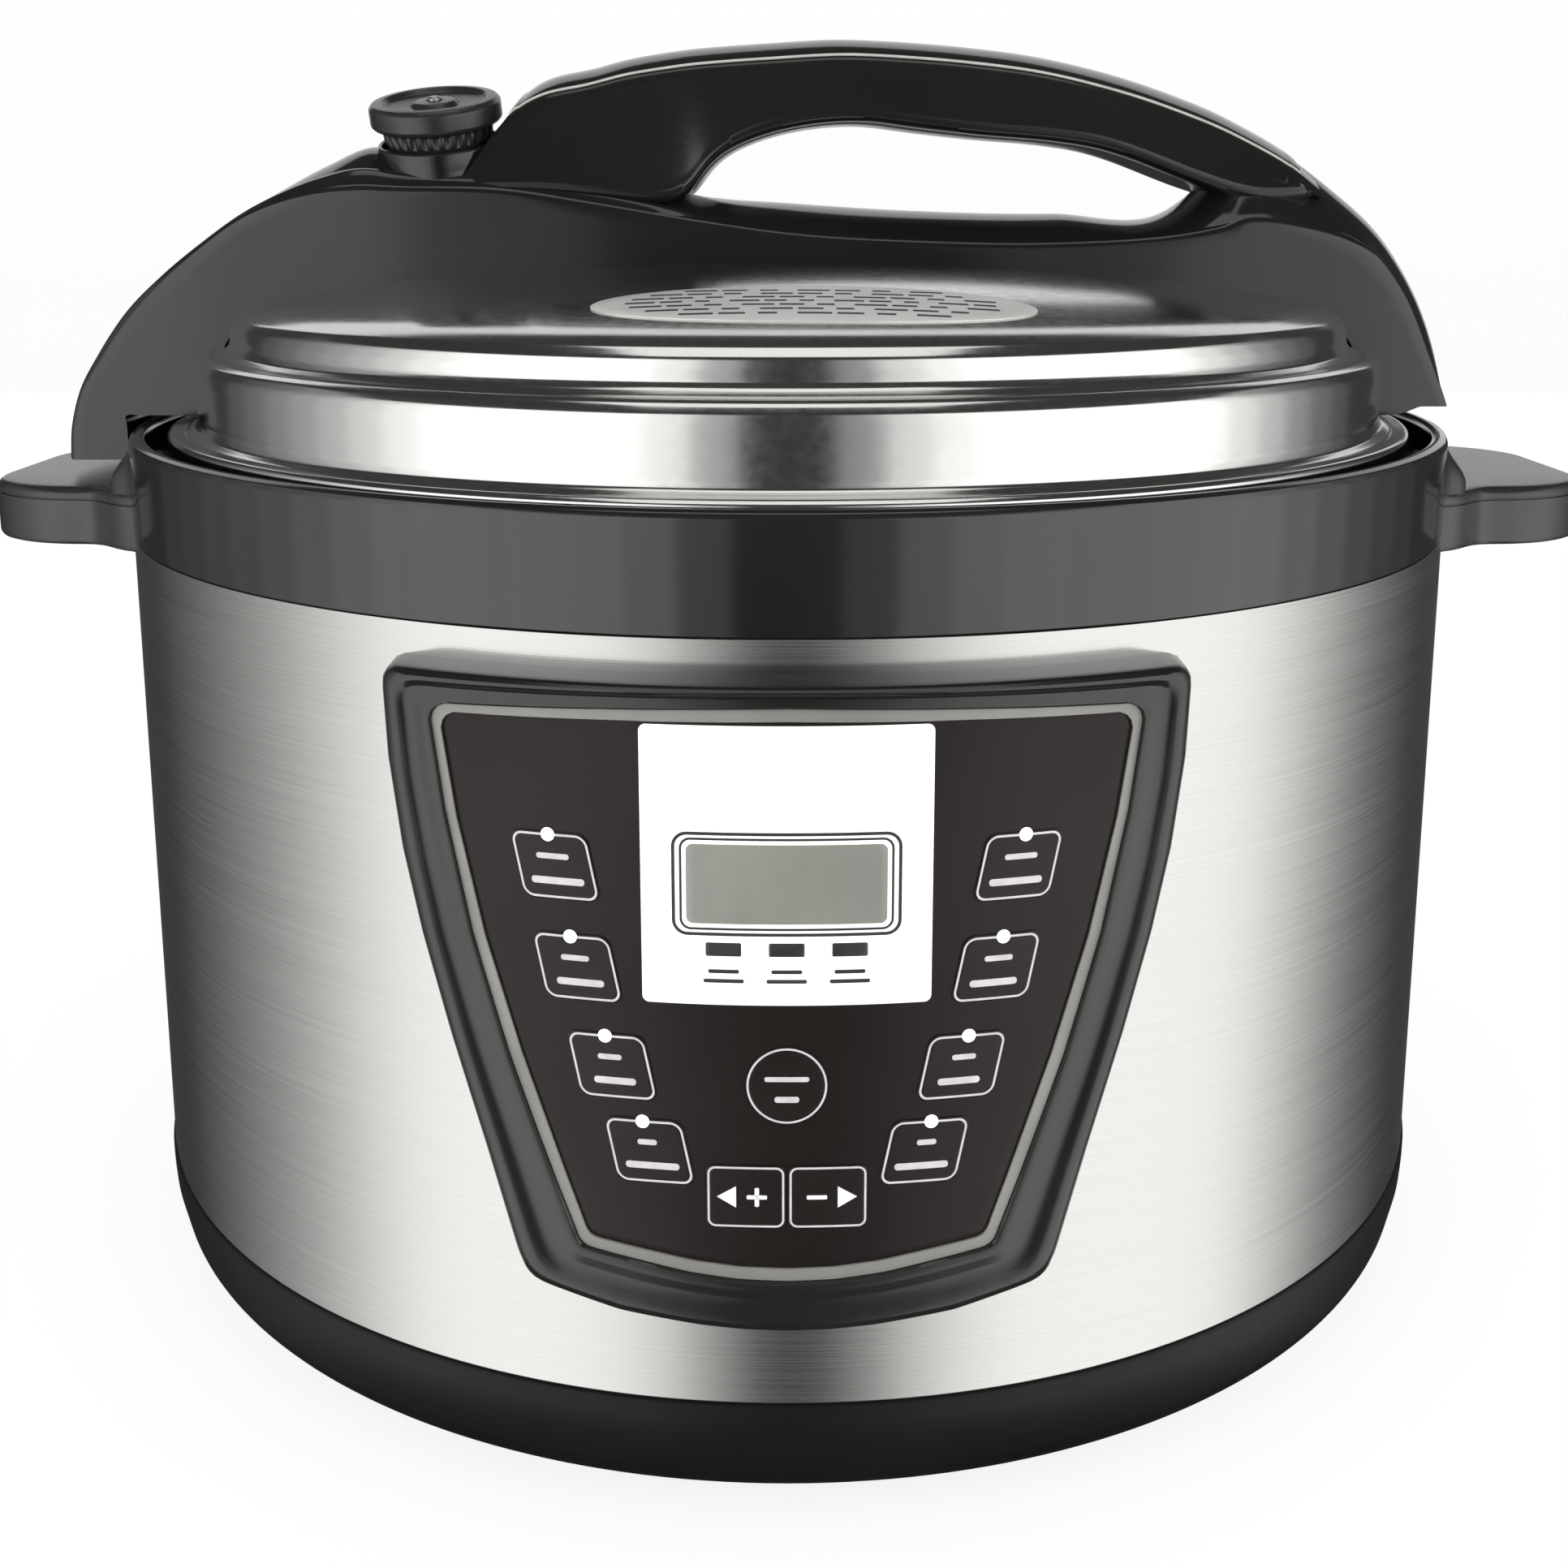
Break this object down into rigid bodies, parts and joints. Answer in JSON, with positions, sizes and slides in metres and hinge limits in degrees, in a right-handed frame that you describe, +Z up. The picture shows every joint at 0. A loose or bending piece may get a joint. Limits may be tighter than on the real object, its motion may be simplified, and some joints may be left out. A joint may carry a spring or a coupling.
{
  "type": "electric pressure cooker",
  "caption": "Round electric pressure cooker with a brushed steel body, curved control panel, bayonet lid with a bridge handle and steam valve, and a lift-out pot.",
  "frame": {"origin": "centre of the footprint, on the plane of the feet", "axes": "+X to the user's right along the handles, +Y to the back, +Z up; the control panel faces -Y"},
  "size_m": [0.366, 0.323, 0.2753],
  "materials": {
    "rubber_feet": "soft black rubber",
    "base_plastic": "satin black plastic",
    "plate_steel": "plain zinc-coated sheet",
    "screw_steel": "bright screws",
    "sleeve_steel": "stainless steel brushed round the body",
    "collar_plastic": "satin black plastic",
    "handle_plastic": "satin black plastic",
    "shell_steel": "pressed steel",
    "heater_metal": "cast aluminium",
    "element_metal": "sheathed element",
    "sensor_metal": "spun aluminium cap",
    "switch_plastic": "pale phenolic",
    "board_green": "circuit board",
    "parts_grey": "relay, transformer and capacitors",
    "wire_red": "insulated wires",
    "bezel_plastic": "black plastic",
    "border_grey": "satin grey plastic",
    "film_black": "warm black printed film",
    "display_white": "white printed window",
    "lcd_grey": "grey display glass",
    "led_white": "light guides",
    "inlet_plastic": "hard black plastic",
    "pin_metal": "plated pins",
    "cup_clear": "frosted clear plastic",
    "pot_coating": "non-stick coated aluminium",
    "gasket_silicone": "silicone rubber",
    "liner_aluminium": "pressed aluminium",
    "lid_steel": "mirror-polished stainless steel",
    "label_silver": "satin silver label",
    "cover_plastic": "satin black plastic",
    "cap_plastic": "smooth black plastic",
    "pipe_steel": "turned steel",
    "float_red": "float valve with its seal",
    "knob_plastic": "satin black plastic",
    "pin_silver": "turned steel"
  },
  "bodies": {
    "base": {"feet": "rubber_feet", "base_ring": "base_plastic", "bottom_plate": "plate_steel", "bottom_screws": "screw_steel", "outer_shell": "sleeve_steel", "collar": "collar_plastic", "handle_left": "handle_plastic", "handle_right": "handle_plastic", "handle_screws": "screw_steel", "pressure_shell": "shell_steel", "spring_plate": "plate_steel", "heating_plate": "heater_metal", "heating_element": "element_metal", "sensor_spring": "plate_steel", "pressure_switch": "switch_plastic", "thermal_fuse": "switch_plastic", "power_board": "board_green", "power_parts": "parts_grey", "wiring": "wire_red", "control_board": "board_green", "lcd_module": "board_green", "panel_bezel": "bezel_plastic", "panel_border": "border_grey", "key_membrane": "parts_grey", "panel_film": "film_black", "display_window": "display_white", "lcd_glass": "lcd_grey", "indicator_bars": "bezel_plastic", "status_leds": "led_white", "power_inlet": "inlet_plastic", "inlet_pins": "pin_metal", "cup_bracket": "base_plastic"},
    "sensor": {"thermostat_sensor": "sensor_metal"},
    "cup": {"condensate_cup": "cup_clear"},
    "pot": {"inner_pot": "pot_coating"},
    "liner": {"lid_liner": "liner_aluminium", "sealing_ring": "gasket_silicone"},
    "lid": {"lid_shell": "lid_steel", "liner_nut": "gasket_silicone", "lid_label": "label_silver", "lid_cover": "cover_plastic", "cover_screws": "screw_steel", "grip_bar": "cover_plastic", "grip_cap": "cap_plastic", "vent_pipe": "pipe_steel", "steam_filter": "pipe_steel"},
    "float": {"float_pin": "float_red"},
    "valve_knob": {"valve_knob": "knob_plastic"},
    "valve_pin": {"valve_pin": "pin_silver"},
    "key_left_1": {"key_left_1": "film_black"},
    "key_left_2": {"key_left_2": "film_black"},
    "key_left_3": {"key_left_3": "film_black"},
    "key_left_4": {"key_left_4": "film_black"},
    "key_right_1": {"key_right_1": "film_black"},
    "key_right_2": {"key_right_2": "film_black"},
    "key_right_3": {"key_right_3": "film_black"},
    "key_right_4": {"key_right_4": "film_black"},
    "key_round": {"key_round": "film_black"},
    "key_plus": {"key_plus": "film_black"},
    "key_minus": {"key_minus": "film_black"}
  },
  "joints": [
    {"name": "lid_lift", "type": "slide", "parent": "base", "child": "liner", "axis": [0, 0, 1], "range_m": [0, 0.2]},
    {"name": "lid_turn", "type": "hinge", "parent": "liner", "child": "lid", "pos_m": [0, 0, 0.19], "axis": [0, 0, 1], "range_deg": [0, 22.5]},
    {"name": "pot_lift", "type": "slide", "parent": "base", "child": "pot", "axis": [0, 0, 1], "range_m": [0, 0.14]},
    {"name": "sensor_slide", "type": "slide", "parent": "base", "child": "sensor", "axis": [0, 0, 1], "range_m": [0, 0.0025], "deforming": ["sensor_spring"]},
    {"name": "float_lift", "type": "slide", "parent": "lid", "child": "float", "axis": [0, 0, 1], "range_m": [0, 0.004]},
    {"name": "valve_turn", "type": "hinge", "parent": "lid", "child": "valve_knob", "pos_m": [-0.08, -0.005, 0.2495], "axis": [-0.0506, -0.2588, 0.9646], "range_deg": [0, 40]},
    {"name": "valve_pin_lift", "type": "slide", "parent": "valve_knob", "child": "valve_pin", "axis": [-0.0506, -0.2588, 0.9646], "range_m": [0, 0.002]},
    {"name": "cup_slide", "type": "slide", "parent": "base", "child": "cup", "axis": [0, 1, 0], "range_m": [0, 0.06]},
    {"name": "key_left_1_press", "type": "slide", "parent": "base", "child": "key_left_1", "axis": [0.247, 0.969, 0], "range_m": [0, 0.0003], "stiffness_N_per_m": 2000},
    {"name": "key_left_2_press", "type": "slide", "parent": "base", "child": "key_left_2", "axis": [0.225, 0.9744, 0], "range_m": [0, 0.0003], "stiffness_N_per_m": 2000},
    {"name": "key_left_3_press", "type": "slide", "parent": "base", "child": "key_left_3", "axis": [0.1891, 0.982, 0], "range_m": [0, 0.0003], "stiffness_N_per_m": 2000},
    {"name": "key_left_4_press", "type": "slide", "parent": "base", "child": "key_left_4", "axis": [0.1495, 0.9888, 0], "range_m": [0, 0.0003], "stiffness_N_per_m": 2000},
    {"name": "key_right_1_press", "type": "slide", "parent": "base", "child": "key_right_1", "axis": [-0.247, 0.969, 0], "range_m": [0, 0.0003], "stiffness_N_per_m": 2000},
    {"name": "key_right_2_press", "type": "slide", "parent": "base", "child": "key_right_2", "axis": [-0.225, 0.9744, 0], "range_m": [0, 0.0003], "stiffness_N_per_m": 2000},
    {"name": "key_right_3_press", "type": "slide", "parent": "base", "child": "key_right_3", "axis": [-0.1891, 0.982, 0], "range_m": [0, 0.0003], "stiffness_N_per_m": 2000},
    {"name": "key_right_4_press", "type": "slide", "parent": "base", "child": "key_right_4", "axis": [-0.1495, 0.9888, 0], "range_m": [0, 0.0003], "stiffness_N_per_m": 2000},
    {"name": "key_round_press", "type": "slide", "parent": "base", "child": "key_round", "axis": [0, 1, 0], "range_m": [0, 0.0003], "stiffness_N_per_m": 2000},
    {"name": "key_plus_press", "type": "slide", "parent": "base", "child": "key_plus", "axis": [0.0447, 0.999, 0], "range_m": [0, 0.0003], "stiffness_N_per_m": 2000},
    {"name": "key_minus_press", "type": "slide", "parent": "base", "child": "key_minus", "axis": [-0.0447, 0.999, 0], "range_m": [0, 0.0003], "stiffness_N_per_m": 2000}
  ],
  "couplings": [
    {"joint": "pot_lift", "follows": "lid_lift", "ratio": 0.7},
    {"joint": "sensor_slide", "follows": "lid_lift", "ratio": 0.0125}
  ]
}
